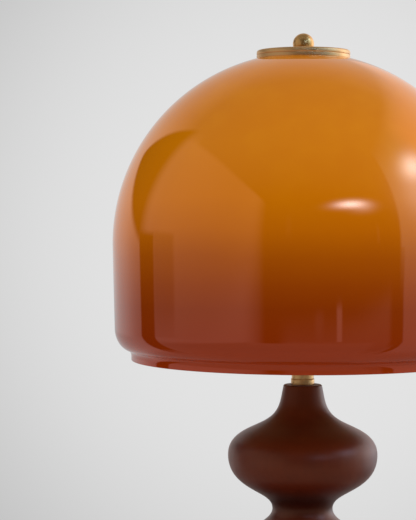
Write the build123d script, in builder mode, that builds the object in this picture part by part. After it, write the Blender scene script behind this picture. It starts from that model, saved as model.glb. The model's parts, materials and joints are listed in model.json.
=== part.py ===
"""Table lamp: a glass dome on a turned wooden base, clamped by a brass cap and ball finial.

A threaded pipe runs up the middle and clamps the whole stack: ballast, wood, neck, stem and
two-light cluster. The riser above the cluster carries the glass between two gaskets.
Millimetres, +Z up, origin on the table under the middle of the base. The front is -Y.
"""
import os
from math import cos, radians, sin, sqrt

from build123d import *

# Clearances, all radial
running_clearance = 0.05    # a piece that turns or slides on its shaft
slip_clearance = 0.1        # a fixed piece pushed over a rod or into a hole
nest_clearance = 0.2        # thin socket shells inside one another

# Turned wooden base: radii, and drops below the top of the wood
wood_height = 222.0
neck_radius = 18.1
neck_chamfer = 0.8
bulb_radius = 70.9
bulb_drop = 66.5
waist_radius = 28.6
waist_drop = 117.9
belly_radius = 90.0
belly_drop = 176.0
foot_draw = 15.0            # foot drawn in from the belly

# Pull of the curves between those stations
neck_flare = 5.3
neck_reach = 23.3
throat_radius = 18.6
throat_reach = 43.2
bulb_top_reach = 33.2
bulb_bottom_reach = 34.0
waist_top_reach = 18.4
waist_bottom_reach = 20.0
belly_top_reach = 30.0
belly_bottom_reach = 28.0
foot_rise = 4.5
foot_bulge = 9.5

# Underside: felt, ballast and the nut that draws the stack together
felt_thickness = 2.0
felt_margin = 2.0
foot_wall = 11.0            # ring of wood round the recess
recess_depth = 34.0
ballast_margin = 0.5
ballast_thickness = 16.0
ballast_chamfer = 1.5
washer_radius = 14.0
washer_thickness = 1.6
base_nut_flats = 17.0
base_nut_height = 6.4
pipe_tail = 2.5
pipe_bush_wall = 1.2
pipe_bush_lap = 1.8
pipe_bush_face = 1.5

# Cord inlet in the back of the foot
inlet_rise = 11.0           # centre of the inlet above the underside of the wood
inlet_bore_radius = 3.6
inlet_sleeve_wall = 1.4
inlet_flange_radius = 7.6
inlet_flange_thickness = 2.2
inlet_seat_inset = 6.0
inlet_seat_clearance = 0.3

# Threaded pipe, brass neck and stem
pipe_radius = 5.0
pipe_bore_radius = 3.4
pipe_wire_hole_radius = 2.4
ring_radius = 11.05
ring_height = 5.6
ring_chamfer = 0.5
stem_radius = 10.5
stem_wall = 1.2
spigot_height = 3.0

# Cluster ball with two angled bosses
cluster_rise = 50.0         # centre of the ball above the rim of the glass
cluster_radius = 24.0
cluster_half_height = 20.5
socket_angle = 40.0         # of the sockets above the horizontal
boss_radius = 7.6
boss_reach = 31.0
nipple_grip = 9.0

# Riser, and the plate that carries the glass
riser_radius = 6.0
riser_foot_radius = 9.5
riser_foot_height = 4.0
riser_foot_taper = 6.0
riser_grip = 11.0
riser_end_gap = 1.0
riser_poke = 1.0
plate_radius = 35.0
plate_thickness = 3.0
plate_edge = 1.0
jam_nut_flats = 19.0
jam_nut_height = 6.0
gasket_thickness = 1.6
lower_gasket_margin = 1.0

# Glass dome, measured up from its rim
rim_gap = 23.9              # rim of the glass above the top of the wood
glass_wall = 4.0
dome_radius = 180.2
dome_rise = 109.7
skirt_taper = 2.0           # wall drawn in towards the bottom
skirt_rise = 30.3
lip_tuck = 15.6             # lip drawn in under the wall
lip_height = 9.3
lip_blend = 2.0
lip_edge = 1.7
crown_land_radius = 38.0
crown_hole_radius = 8.0

# Brass cap, stud and ball finial
cap_recess_margin = 3.4     # recess of the cap outside the land of the glass
cap_rim_width = 2.7
cap_height = 6.8
cap_lap = 0.4               # rim of the cap below the land of the glass
cap_top_edge = 1.6
cap_bottom_edge = 0.6
cap_groove_height = 2.4
cap_groove_width = 1.0
cap_groove_depth = 0.45
stud_radius = 3.175
stud_grip = 12.0
finial_washer_radius = 7.6
finial_washer_thickness = 0.9
finial_radius = 10.0
finial_cut = 5.1            # flat seat of the ball below its centre
finial_bore_depth = 11.0
finial_bore_room = 0.6

# Sockets, measured out along each socket's own axis
cap_neck_radius = 8.0
cap_neck_length = 6.0
cap_dome_length = 10.0
cap_skirt_length = 10.0
cap_wall = 0.9
shell_radius = 15.9
shell_wall = 0.8
shell_length = 44.0
shell_lap = 8.5             # how far the shell goes into the cap
mouth_bead = 0.8
mouth_bead_length = 2.4
sleeve_wall = 0.8
sleeve_setback = 2.0
body_length = 20.0
screw_shell_wall = 0.5
screw_shell_length = 18.0
contact_radius = 4.0
contact_height = 1.5

# Bulbs: screw base and frosted globe
base_radius = 13.0
base_wall = 0.8
base_tip_radius = 4.6
base_tip_length = 1.5
base_cone_length = 3.5
base_length = 26.0
globe_radius = 30.0
globe_wall = 1.0
globe_length = 82.0
globe_neck_reach = 24.0
globe_belly_reach = 26.0

# Turn switches
knob_cap_gap = 1.1          # switch hole clear of the mouth of the socket's cap
knob_radius = 5.6
knob_length = 12.0
knob_standoff = 0.8         # knob clear of the skirt of the socket's cap
knob_edge = 0.8
knob_flute_count = 12
knob_flute_radius = 0.9
knob_shaft_radius = 1.8
knob_shaft_end = 5.0        # inner end of the shaft, from the socket's axis
knob_hole_margin = 1.0

# Heights that follow from the sizes above
wood_bottom = felt_thickness
wood_top = wood_bottom + wood_height
bulb_z = wood_top - bulb_drop
waist_z = wood_top - waist_drop
belly_z = wood_top - belly_drop
recess_top = wood_bottom + recess_depth
ballast_bottom = recess_top - ballast_thickness
washer_bottom = ballast_bottom - washer_thickness
nut_bottom = washer_bottom - base_nut_height
pipe_bottom = nut_bottom - pipe_tail
inlet_z = wood_bottom + inlet_rise
ring_top = wood_top + ring_height
rim_z = wood_top + rim_gap
dome_z = rim_z + dome_rise
crown_top = dome_z + sqrt(dome_radius**2 - crown_land_radius**2)
crown_under = crown_top - glass_wall
cluster_z = rim_z + cluster_rise
cluster_bottom = cluster_z - cluster_half_height
cluster_top = cluster_z + cluster_half_height
pipe_top = cluster_top + riser_grip
plate_top = crown_under - gasket_thickness
plate_bottom = plate_top - plate_thickness
riser_top = crown_under + riser_poke
cap_bottom = crown_top - cap_lap
cap_top = cap_bottom + cap_height
finial_seat = cap_top + finial_washer_thickness
stud_top = finial_seat + finial_bore_depth - finial_bore_room

# Radii that follow
foot_radius = belly_radius - foot_draw
recess_radius = foot_radius - foot_wall
skirt_radius = dome_radius - skirt_taper
lip_radius = skirt_radius - lip_tuck
pipe_hole_radius = pipe_radius + slip_clearance
stem_bore_radius = stem_radius - stem_wall
spigot_radius = stem_bore_radius - slip_clearance
riser_hole_radius = riser_radius + slip_clearance
inlet_sleeve_radius = inlet_bore_radius + inlet_sleeve_wall
inlet_seat = foot_radius - inlet_seat_inset + foot_bulge
cap_recess_radius = crown_land_radius + cap_recess_margin
cap_radius = cap_recess_radius + cap_rim_width
cap_bore_radius = shell_radius + nest_clearance
cap_skirt_radius = cap_bore_radius + cap_wall
sleeve_radius = shell_radius - shell_wall - nest_clearance
body_radius = sleeve_radius - sleeve_wall - nest_clearance
knob_hole_radius = knob_shaft_radius + knob_hole_margin

# Stations along a socket's axis, from the centre of the cluster ball
cap_seat = boss_reach
cap_shoulder = cap_seat + cap_neck_length
cap_skirt_start = cap_shoulder + cap_dome_length
cap_mouth = cap_skirt_start + cap_skirt_length
shell_start = cap_mouth - shell_lap
shell_mouth = shell_start + shell_length
sleeve_start = shell_start + cap_wall
sleeve_end = shell_mouth - sleeve_setback
body_end = sleeve_start + body_length
screw_shell_end = body_end + screw_shell_length
contact_end = body_end + contact_height
knob_station = cap_mouth + knob_cap_gap + knob_hole_radius
base_tip_end = contact_end + base_tip_length
base_cone_end = base_tip_end + base_cone_length
base_end = contact_end + base_length
globe_tip = base_end + globe_length
globe_belly = globe_tip - globe_radius


def turned(points, plane=Plane.XZ, axis=Axis.Z):
    """A piece turned from a closed outline of straight runs, as (radius, height) points."""
    with BuildPart() as piece:
        with BuildSketch(plane):
            with BuildLine():
                Polyline(*points, close=True)
            make_face()
        revolve(axis=axis)
    return piece.part


def ring(inner, outer, bottom, top, plane=Plane.XZ, axis=Axis.Z):
    """A plain ring or tube between two radii and two heights."""
    outline = [(inner, bottom), (outer, bottom), (outer, top), (inner, top)]
    return turned(outline, plane, axis)


def save(piece, name):
    """Label a finished piece and write it to its own file."""
    piece.label = name
    export_step(piece, f"parts/{name}.step")


os.makedirs("parts", exist_ok=True)

# Felt pad that the lamp stands on
with BuildPart() as felt_pad:
    with BuildSketch():
        Circle(foot_radius - felt_margin)
    extrude(amount=felt_thickness)
save(felt_pad.part, "felt_pad")

# Turned wood: slim neck, round bulb, tight waist, broad belly drawn in to the foot
with BuildPart() as wood_body:
    with BuildSketch(Plane.XZ):
        with BuildLine():
            Line((pipe_hole_radius, wood_top), (neck_radius, wood_top))
            Bezier(
                (neck_radius, wood_top),
                (neck_radius + neck_flare, wood_top - neck_reach),
                (throat_radius, wood_top - throat_reach),
                (bulb_radius, bulb_z + bulb_top_reach),
                (bulb_radius, bulb_z),
            )
            Bezier(
                (bulb_radius, bulb_z),
                (bulb_radius, bulb_z - bulb_bottom_reach),
                (waist_radius, waist_z + waist_top_reach),
                (waist_radius, waist_z),
            )
            Bezier(
                (waist_radius, waist_z),
                (waist_radius, waist_z - waist_bottom_reach),
                (belly_radius, belly_z + belly_top_reach),
                (belly_radius, belly_z),
            )
            Bezier(
                (belly_radius, belly_z),
                (belly_radius, belly_z - belly_bottom_reach),
                (foot_radius + foot_bulge, wood_bottom + foot_rise),
                (foot_radius, wood_bottom),
            )
            Polyline(
                (foot_radius, wood_bottom),
                (recess_radius, wood_bottom),
                (recess_radius, recess_top),
                (pipe_hole_radius, recess_top),
                (pipe_hole_radius, wood_top),
            )
        make_face()
    revolve(axis=Axis.Z)
    rims = wood_body.edges().filter_by(GeomType.CIRCLE)
    chamfer(rims.filter_by(lambda e: abs(e.radius - neck_radius) < slip_clearance), neck_chamfer)
    # The inlet is drilled through the back wall and spot-faced for the flange of its bush
    with BuildSketch(Plane.XZ.offset(-inlet_seat)):
        with Locations((0, inlet_z)):
            Circle(inlet_flange_radius + inlet_seat_clearance)
    extrude(amount=-belly_radius, mode=Mode.SUBTRACT)
    with BuildSketch(Plane.XZ):
        with Locations((0, inlet_z)):
            Circle(inlet_sleeve_radius + slip_clearance)
    extrude(amount=-belly_radius, mode=Mode.SUBTRACT)
save(wood_body.part, "wood_body")

# Flanged bush that lines the cord inlet
with BuildPart() as cord_bush:
    with BuildSketch(Plane.XZ.offset(-recess_radius)):
        with Locations((0, inlet_z)):
            Circle(inlet_sleeve_radius)
    extrude(amount=recess_radius - inlet_seat)
    with BuildSketch(Plane.XZ.offset(-inlet_seat)):
        with Locations((0, inlet_z)):
            Circle(inlet_flange_radius)
    extrude(amount=-inlet_flange_thickness)
    with BuildSketch(Plane.XZ):
        with Locations((0, inlet_z)):
            Circle(inlet_bore_radius)
    extrude(amount=-belly_radius, mode=Mode.SUBTRACT)
save(cord_bush.part, "cord_bush")

# Iron ballast held up in the recess by the washer and nut on the pipe
with BuildPart() as ballast:
    with BuildSketch(Plane.XY.offset(ballast_bottom)):
        Circle(recess_radius - ballast_margin)
        Circle(pipe_hole_radius, mode=Mode.SUBTRACT)
    extrude(amount=ballast_thickness)
    rims = ballast.edges().filter_by(GeomType.CIRCLE)
    chamfer(rims.filter_by(lambda e: e.radius > washer_radius), ballast_chamfer)
save(ballast.part, "ballast")

save(ring(pipe_hole_radius, washer_radius, washer_bottom, ballast_bottom), "base_washer")


def hex_nut(flats, bore, bottom, height):
    """A hexagon nut round the lamp's axis."""
    with BuildPart() as nut:
        with BuildSketch(Plane.XY.offset(bottom)):
            RegularPolygon(flats / 2, 6, major_radius=False)
            Circle(bore, mode=Mode.SUBTRACT)
        extrude(amount=height)
    return nut.part


save(hex_nut(base_nut_flats, pipe_hole_radius, nut_bottom, base_nut_height), "base_nut")

# Threaded pipe, with a side hole inside the cluster ball for the wires
with BuildPart() as lamp_pipe:
    with BuildSketch(Plane.XY.offset(pipe_bottom)):
        Circle(pipe_radius)
        Circle(pipe_bore_radius, mode=Mode.SUBTRACT)
    extrude(amount=pipe_top - pipe_bottom)
    with BuildSketch(Plane.YZ.offset(-pipe_radius)):
        with Locations((0, cluster_z)):
            Circle(pipe_wire_hole_radius)
    extrude(amount=2 * pipe_radius, mode=Mode.SUBTRACT)
save(lamp_pipe.part, "lamp_pipe")

# Bush that keeps the wires off the cut end of the pipe
pipe_bush_radius = pipe_hole_radius + pipe_bush_wall
pipe_bush_outline = [
    (pipe_bore_radius, pipe_bottom - pipe_bush_face),
    (pipe_bush_radius, pipe_bottom - pipe_bush_face),
    (pipe_bush_radius, pipe_bottom + pipe_bush_lap),
    (pipe_hole_radius, pipe_bottom + pipe_bush_lap),
    (pipe_hole_radius, pipe_bottom),
    (pipe_bore_radius, pipe_bottom),
]
save(turned(pipe_bush_outline), "pipe_bush")

# Brass neck: a seating ring with a spigot, and the stem tube that stands on it
neck_ring_outline = [
    (pipe_hole_radius, wood_top),
    (ring_radius - ring_chamfer, wood_top),
    (ring_radius, wood_top + ring_chamfer),
    (ring_radius, ring_top - ring_chamfer),
    (ring_radius - ring_chamfer, ring_top),
    (spigot_radius, ring_top),
    (spigot_radius, ring_top + spigot_height),
    (pipe_hole_radius, ring_top + spigot_height),
]
save(turned(neck_ring_outline), "neck_ring")

stem_tube_outline = [
    (stem_bore_radius, ring_top),
    (stem_radius - ring_chamfer, ring_top),
    (stem_radius, ring_top + ring_chamfer),
    (stem_radius, cluster_bottom),
    (stem_bore_radius, cluster_bottom),
]
save(turned(stem_tube_outline), "stem_tube")

# Frames of the two sockets: local x across, local y out along the socket
lean = radians(socket_angle)
cluster_centre = (0, 0, cluster_z)
sides = {"left": -1, "right": 1}
socket_planes = {
    name: Plane(cluster_centre, x_dir=(0, 1, 0), z_dir=(sin(lean), 0, -side * cos(lean)))
    for name, side in sides.items()
}
socket_axes = {
    name: Axis(cluster_centre, (side * cos(lean), 0, sin(lean))) for name, side in sides.items()
}
knob_planes = {
    name: Plane(
        (side * cos(lean) * knob_station, 0, cluster_z + sin(lean) * knob_station),
        x_dir=(1, 0, 0),
        z_dir=(0, -1, 0),
    )
    for name, side in sides.items()
}

# Cluster ball: a cast brass ball cut flat above and below, with an angled boss for each socket
with BuildPart() as cluster_ball:
    with BuildSketch(Plane.XZ):
        with BuildLine():
            flat = sqrt(cluster_radius**2 - cluster_half_height**2)
            Polyline(
                (flat, cluster_bottom),
                (spigot_radius, cluster_bottom),
                (spigot_radius, cluster_bottom - spigot_height),
                (0, cluster_bottom - spigot_height),
                (0, cluster_top),
                (flat, cluster_top),
            )
            ThreePointArc(
                (flat, cluster_top),
                (cluster_radius, cluster_z),
                (flat, cluster_bottom),
            )
        make_face()
    revolve(axis=Axis.Z)
    for name in sides:
        axis = socket_axes[name]
        boss_plane = Plane(cluster_centre, z_dir=axis.direction)
        with BuildSketch(boss_plane):
            Circle(boss_radius)
        extrude(amount=boss_reach)
        with BuildSketch(boss_plane.offset(boss_reach - nipple_grip)):
            Circle(pipe_hole_radius)
        extrude(amount=nipple_grip, mode=Mode.SUBTRACT)
        with BuildSketch(boss_plane):
            Circle(pipe_bore_radius)
        extrude(amount=boss_reach, mode=Mode.SUBTRACT)
    with BuildSketch(Plane.XY.offset(cluster_bottom - spigot_height)):
        Circle(pipe_hole_radius)
    extrude(amount=cluster_top - cluster_bottom + spigot_height, mode=Mode.SUBTRACT)
    # Flat seat for the foot of the riser, clear of the bosses
    with BuildSketch(Plane.XY.offset(cluster_top)):
        Circle(riser_foot_radius + slip_clearance)
    extrude(amount=boss_reach, mode=Mode.SUBTRACT)
save(cluster_ball.part, "cluster_ball")

# Riser rod: a flared foot screwed on to the pipe, and a tapped hole for the stud at the top
with BuildPart() as riser_rod:
    with BuildSketch(Plane.XZ):
        with BuildLine():
            Polyline(
                (pipe_hole_radius, cluster_top),
                (riser_foot_radius, cluster_top),
                (riser_foot_radius, cluster_top + riser_foot_height),
                (riser_radius, cluster_top + riser_foot_height + riser_foot_taper),
                (riser_radius, riser_top),
                (stud_radius + slip_clearance, riser_top),
                (stud_radius + slip_clearance, riser_top - stud_grip),
                (0, riser_top - stud_grip),
                (0, pipe_top + riser_end_gap),
                (pipe_hole_radius, pipe_top + riser_end_gap),
                close=True,
            )
        make_face()
    revolve(axis=Axis.Z)
save(riser_rod.part, "riser_rod")

# Plate on a jam nut, which carries the crown of the glass
jam_nut_bottom = plate_bottom - jam_nut_height
save(hex_nut(jam_nut_flats, riser_hole_radius, jam_nut_bottom, jam_nut_height), "jam_nut")

with BuildPart() as shade_plate:
    with BuildSketch(Plane.XY.offset(plate_bottom)):
        Circle(plate_radius)
        Circle(riser_hole_radius, mode=Mode.SUBTRACT)
    extrude(amount=plate_thickness)
    rims = shade_plate.edges().filter_by(GeomType.CIRCLE)
    fillet(rims.filter_by(lambda e: e.radius > riser_hole_radius), plate_edge)
save(shade_plate.part, "shade_plate")

lower_gasket_radius = plate_radius - lower_gasket_margin
save(ring(crown_hole_radius, lower_gasket_radius, plate_top, crown_under), "lower_gasket")

# Glass dome: hemisphere on a slightly tapered wall, tucked under to a straight lip
inner_dome_radius = dome_radius - glass_wall
inner_lip_radius = lip_radius - glass_wall
inner_land_radius = sqrt(inner_dome_radius**2 - (crown_under - dome_z) ** 2)
skirt_z = rim_z + skirt_rise
lip_top = rim_z + lip_height
tuck_height = skirt_z - lip_top
with BuildPart() as glass_shade:
    with BuildSketch(Plane.XZ):
        with BuildLine():
            Line((crown_hole_radius, crown_top), (crown_land_radius, crown_top))
            RadiusArc((crown_land_radius, crown_top), (dome_radius, dome_z), dome_radius)
            Line((dome_radius, dome_z), (skirt_radius, skirt_z))
            EllipticalCenterArc((lip_radius, skirt_z), lip_tuck, tuck_height, 270, arc_size=90)
            Polyline(
                (lip_radius, lip_top),
                (lip_radius, rim_z),
                (inner_lip_radius, rim_z),
                (inner_lip_radius, lip_top + glass_wall),
            )
            EllipticalCenterArc(
                (inner_lip_radius, skirt_z),
                lip_tuck,
                tuck_height - glass_wall,
                270,
                arc_size=90,
            )
            Line((skirt_radius - glass_wall, skirt_z), (inner_dome_radius, dome_z))
            RadiusArc(
                (inner_land_radius, crown_under), (inner_dome_radius, dome_z), inner_dome_radius
            )
            Polyline(
                (inner_land_radius, crown_under),
                (crown_hole_radius, crown_under),
                (crown_hole_radius, crown_top),
            )
        make_face()
    revolve(axis=Axis.Z)
    # The lip is fire-polished and its corners are soft
    corners = glass_shade.edges().filter_by(GeomType.CIRCLE).filter_by_position(
        Axis.Z, rim_z + lip_edge, lip_top + glass_wall
    )
    fillet(corners, lip_blend)
    fillet(glass_shade.edges().group_by(Axis.Z)[0], lip_edge)
save(glass_shade.part, "glass_shade")

save(ring(crown_hole_radius, crown_land_radius, crown_top, crown_top + gasket_thickness), "cap_gasket")

# Turned brass cap, hollowed to take the gasket, with one fine groove round its band
with BuildPart() as top_cap:
    recess_ceiling = crown_top + gasket_thickness
    groove_z = cap_bottom + cap_groove_height
    with BuildSketch(Plane.XZ):
        with BuildLine():
            Polyline(
                (stud_radius + slip_clearance, recess_ceiling),
                (cap_recess_radius, recess_ceiling),
                (cap_recess_radius, cap_bottom),
                (cap_radius, cap_bottom),
                (cap_radius, groove_z - cap_groove_width / 2),
                (cap_radius - cap_groove_depth, groove_z),
                (cap_radius, groove_z + cap_groove_width / 2),
                (cap_radius, cap_top),
                (stud_radius + slip_clearance, cap_top),
                close=True,
            )
        make_face()
    revolve(axis=Axis.Z)
    rims = top_cap.edges().filter_by(GeomType.CIRCLE)
    band = rims.filter_by(lambda e: abs(e.radius - cap_radius) < slip_clearance)
    fillet(band.sort_by(Axis.Z)[-1], cap_top_edge)
    band = top_cap.edges().filter_by(GeomType.CIRCLE).group_by(Axis.Z)[0]
    fillet(band.sort_by(SortBy.RADIUS)[-1], cap_bottom_edge)
save(top_cap.part, "top_cap")

# Stud that the ball screws on to, and the washer under the ball
save(ring(0, stud_radius, riser_top - stud_grip, stud_top), "finial_stud")
washer_bore_radius = stud_radius + running_clearance
save(ring(washer_bore_radius, finial_washer_radius, cap_top, finial_seat), "finial_washer")

# Ball finial, cut flat underneath and tapped for the stud
with BuildPart() as finial_ball:
    ball_z = finial_seat + finial_cut
    seat_radius = sqrt(finial_radius**2 - finial_cut**2)
    bore_top = finial_seat + finial_bore_depth
    with BuildSketch(Plane.XZ):
        with BuildLine():
            Polyline(
                (seat_radius, finial_seat),
                (washer_bore_radius, finial_seat),
                (washer_bore_radius, bore_top),
                (0, bore_top),
                (0, ball_z + finial_radius),
            )
            ThreePointArc(
                (0, ball_z + finial_radius),
                (finial_radius, ball_z),
                (seat_radius, finial_seat),
            )
        make_face()
    revolve(axis=Axis.Z)
save(finial_ball.part, "finial_ball")

# One socket, bulb and switch on each side
for name in sides:
    plane = socket_planes[name]
    axis = socket_axes[name]
    knob_plane = knob_planes[name]

    nipple_start = boss_reach - nipple_grip
    nipple = ring(pipe_bore_radius, pipe_radius, nipple_start, cap_shoulder, plane, axis)
    save(nipple, f"nipple_{name}")

    # Brass cap of the socket: a neck on the boss, a domed shoulder and a skirt
    with BuildPart() as socket_cap:
        with BuildSketch(plane):
            with BuildLine():
                Line((pipe_hole_radius, cap_seat), (cap_neck_radius, cap_seat))
                Line((cap_neck_radius, cap_seat), (cap_neck_radius, cap_shoulder))
                EllipticalCenterArc(
                    (cap_neck_radius, cap_skirt_start),
                    cap_skirt_radius - cap_neck_radius,
                    cap_dome_length,
                    270,
                    arc_size=90,
                )
                Polyline(
                    (cap_skirt_radius, cap_skirt_start),
                    (cap_skirt_radius, cap_mouth),
                    (cap_bore_radius, cap_mouth),
                    (cap_bore_radius, cap_skirt_start),
                )
                EllipticalCenterArc(
                    (cap_neck_radius, cap_skirt_start),
                    cap_bore_radius - cap_neck_radius,
                    cap_dome_length - cap_wall,
                    270,
                    arc_size=90,
                )
                Polyline(
                    (cap_neck_radius, cap_shoulder + cap_wall),
                    (pipe_hole_radius, cap_shoulder + cap_wall),
                    (pipe_hole_radius, cap_seat),
                )
            make_face()
        revolve(axis=axis)
    save(socket_cap.part, f"socket_cap_{name}")

    # Brass shell with a bead round its mouth, and a hole for the switch shaft
    shell_bore = shell_radius - shell_wall
    bead_start = shell_mouth - mouth_bead_length
    shell_outline = [
        (shell_bore, shell_start),
        (shell_radius, shell_start),
        (shell_radius, bead_start),
        (shell_radius + mouth_bead, bead_start + mouth_bead),
        (shell_radius + mouth_bead, shell_mouth - mouth_bead),
        (shell_radius, shell_mouth),
        (shell_bore, shell_mouth),
    ]
    with BuildPart() as socket_shell:
        with BuildSketch(plane):
            with BuildLine():
                Polyline(*shell_outline, close=True)
            make_face()
        revolve(axis=axis)
        with BuildSketch(knob_plane):
            Circle(knob_hole_radius)
        extrude(amount=shell_radius, mode=Mode.SUBTRACT)
    save(socket_shell.part, f"socket_shell_{name}")

    # Insulating sleeve inside the shell
    sleeve_bore = sleeve_radius - sleeve_wall
    with BuildPart() as socket_sleeve:
        with BuildSketch(plane):
            with BuildLine():
                Polyline(
                    (sleeve_bore, sleeve_start),
                    (sleeve_radius, sleeve_start),
                    (sleeve_radius, sleeve_end),
                    (sleeve_bore, sleeve_end),
                    close=True,
                )
            make_face()
        revolve(axis=axis)
        with BuildSketch(knob_plane):
            Circle(knob_hole_radius)
        extrude(amount=shell_radius, mode=Mode.SUBTRACT)
    save(socket_sleeve.part, f"socket_sleeve_{name}")

    # Moulded body that holds the switch, bored for the switch shaft
    with BuildPart() as socket_body:
        with BuildSketch(plane):
            with BuildLine():
                Polyline(
                    (0, sleeve_start),
                    (body_radius, sleeve_start),
                    (body_radius, body_end),
                    (0, body_end),
                    close=True,
                )
            make_face()
        revolve(axis=axis)
        with BuildSketch(knob_plane.offset(knob_shaft_end)):
            Circle(knob_shaft_radius + running_clearance)
        extrude(amount=body_radius, mode=Mode.SUBTRACT)
    save(socket_body.part, f"socket_body_{name}")

    screw_bore = body_radius - screw_shell_wall
    screw_shell = ring(screw_bore, body_radius, body_end, screw_shell_end, plane, axis)
    save(screw_shell, f"screw_shell_{name}")
    save(ring(0, contact_radius, body_end, contact_end, plane, axis), f"centre_contact_{name}")

    # Bulb: a thin screw base with its contact tip, and a hollow frosted globe
    base_outline = [
        (0, contact_end),
        (base_tip_radius, contact_end),
        (base_tip_radius, base_tip_end),
        (base_radius, base_cone_end),
        (base_radius, base_end),
        (base_radius - base_wall, base_end),
        (base_radius - base_wall, base_cone_end),
        (0, base_cone_end),
    ]
    save(turned(base_outline, plane, axis), f"bulb_base_{name}")
    with BuildPart() as bulb_globe:
        with BuildSketch(plane):
            with BuildLine():
                globe_bore = globe_radius - globe_wall
                neck_bore = base_radius - globe_wall
                Bezier(
                    (base_radius, base_end),
                    (base_radius, base_end + globe_neck_reach),
                    (globe_radius, globe_belly - globe_belly_reach),
                    (globe_radius, globe_belly),
                )
                RadiusArc((0, globe_tip), (globe_radius, globe_belly), globe_radius)
                Line((0, globe_tip), (0, globe_tip - globe_wall))
                RadiusArc((0, globe_tip - globe_wall), (globe_bore, globe_belly), globe_bore)
                Bezier(
                    (neck_bore, base_end),
                    (neck_bore, base_end + globe_neck_reach),
                    (globe_bore, globe_belly - globe_belly_reach),
                    (globe_bore, globe_belly),
                )
                Line((neck_bore, base_end), (base_radius, base_end))
            make_face()
        revolve(axis=axis)
    save(bulb_globe.part, f"bulb_globe_{name}")

    # Turn switch: a fluted knob on its shaft, pointing to the front
    knob_face = cap_skirt_radius + knob_standoff
    with BuildPart() as switch_knob:
        with BuildSketch(knob_plane.offset(knob_face)):
            Circle(knob_radius)
        extrude(amount=knob_length)
        chamfer(switch_knob.faces().sort_by(Axis.Y)[0].edges(), knob_edge)
        with BuildSketch(knob_plane.offset(knob_face)):
            with PolarLocations(knob_radius, knob_flute_count):
                Circle(knob_flute_radius)
        extrude(amount=knob_length, mode=Mode.SUBTRACT)
        with BuildSketch(knob_plane.offset(knob_shaft_end + running_clearance)):
            Circle(knob_shaft_radius)
        extrude(amount=knob_face - knob_shaft_end)
    save(switch_knob.part, f"switch_knob_{name}")
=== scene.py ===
"""Looks of a table lamp: a cased amber glass dome, turned brass and stained wood.

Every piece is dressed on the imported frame. Metres, +Z up, origin on the table, the front is -Y.
"""
import functools
import json
import logging
import math
from collections.abc import Callable, Sequence
from dataclasses import dataclass
from enum import Enum

import bmesh
import bpy
import numpy as np
from mathutils import Euler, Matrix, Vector

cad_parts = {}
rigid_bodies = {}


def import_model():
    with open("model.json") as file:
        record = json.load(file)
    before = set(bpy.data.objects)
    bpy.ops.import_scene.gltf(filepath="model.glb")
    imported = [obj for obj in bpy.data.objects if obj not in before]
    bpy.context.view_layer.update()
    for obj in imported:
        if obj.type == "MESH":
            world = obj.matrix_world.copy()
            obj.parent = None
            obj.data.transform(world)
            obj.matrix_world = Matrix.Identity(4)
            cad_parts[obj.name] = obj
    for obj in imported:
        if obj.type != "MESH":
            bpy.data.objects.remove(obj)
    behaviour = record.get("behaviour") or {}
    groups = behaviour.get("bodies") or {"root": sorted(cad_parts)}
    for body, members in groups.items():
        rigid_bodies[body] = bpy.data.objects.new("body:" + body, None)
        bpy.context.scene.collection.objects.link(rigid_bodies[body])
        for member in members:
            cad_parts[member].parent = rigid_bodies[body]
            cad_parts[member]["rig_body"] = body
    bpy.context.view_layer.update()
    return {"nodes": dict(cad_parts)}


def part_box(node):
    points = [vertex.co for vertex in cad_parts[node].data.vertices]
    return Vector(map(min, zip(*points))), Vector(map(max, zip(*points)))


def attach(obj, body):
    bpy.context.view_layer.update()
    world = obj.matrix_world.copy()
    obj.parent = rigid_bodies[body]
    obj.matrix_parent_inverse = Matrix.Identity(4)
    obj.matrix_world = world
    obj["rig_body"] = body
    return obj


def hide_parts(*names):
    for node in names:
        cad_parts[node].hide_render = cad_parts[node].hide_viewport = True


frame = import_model()
LOG = logging.getLogger("table_lamp")

Colour = tuple[float, float, float]
Place = tuple[float, float, float]
Corner = tuple[float, float, float]  # radius, height and easing
Point = tuple[float, float]
Clouds = tuple[float, float, float]  # scale, and the levels that they are drawn between
Relief = Callable[[np.ndarray, np.ndarray], np.ndarray]
Socket = bpy.types.NodeSocket

TINY = 1e-7
# Easings of the small edges of turned pieces
HAIR_EDGE, FINE_EDGE, SMALL_EDGE, SOFT_EDGE = 0.0002, 0.0003, 0.0004, 0.0005
FULL_TURN = 2 * math.pi
EASE_STEPS = 5
SHARP_ANGLE = math.radians(32)
NOISE_MIDDLE = 0.5
GLASS_IOR = 1.5
WHITE = (1.0, 1.0, 1.0)
COOL = (0.26, 0.50, 1.0)


def rgba(colour: Colour) -> tuple[float, float, float, float]:
    """The colour with full opacity, as a colour socket takes it."""
    return (*colour, 1.0)


def scaled(colour: Colour, level: float) -> Colour:
    """The colour times a level of light."""
    return tuple(level * share for share in colour)


# Outlines of turned pieces, as arrays of (radius, height)


def bezier(*controls: Point, steps: int) -> np.ndarray:
    """A Bezier curve: each control point times its Bernstein weight, summed.

    Args:
        controls: Control points from the first end to the last.
        steps: How many runs the curve is cut into.

    Returns:
        Points on the curve, both ends included.
    """
    t = np.linspace(0, 1, steps + 1)[:, None]
    order = len(controls) - 1
    weights = [math.comb(order, k) * t**k * (1 - t) ** (order - k) for k in range(order + 1)]
    return sum(weight * np.array(control) for weight, control in zip(weights, controls))


def arc(centre: Point, radii: Point, start: float, end: float, steps: int = 24) -> np.ndarray:
    """Part of an ellipse: centre + (a cos t, b sin t), with t from start to end, in degrees."""
    t = np.radians(np.linspace(start, end, steps + 1))
    return np.array(centre) + np.stack([radii[0] * np.cos(t), radii[1] * np.sin(t)], axis=1)


def joined(*runs: np.ndarray) -> np.ndarray:
    """Runs laid end to end, without points that repeat the one before."""
    points = np.vstack(runs)
    return points[np.append(True, np.linalg.norm(np.diff(points, axis=0), axis=1) > TINY)]


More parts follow.
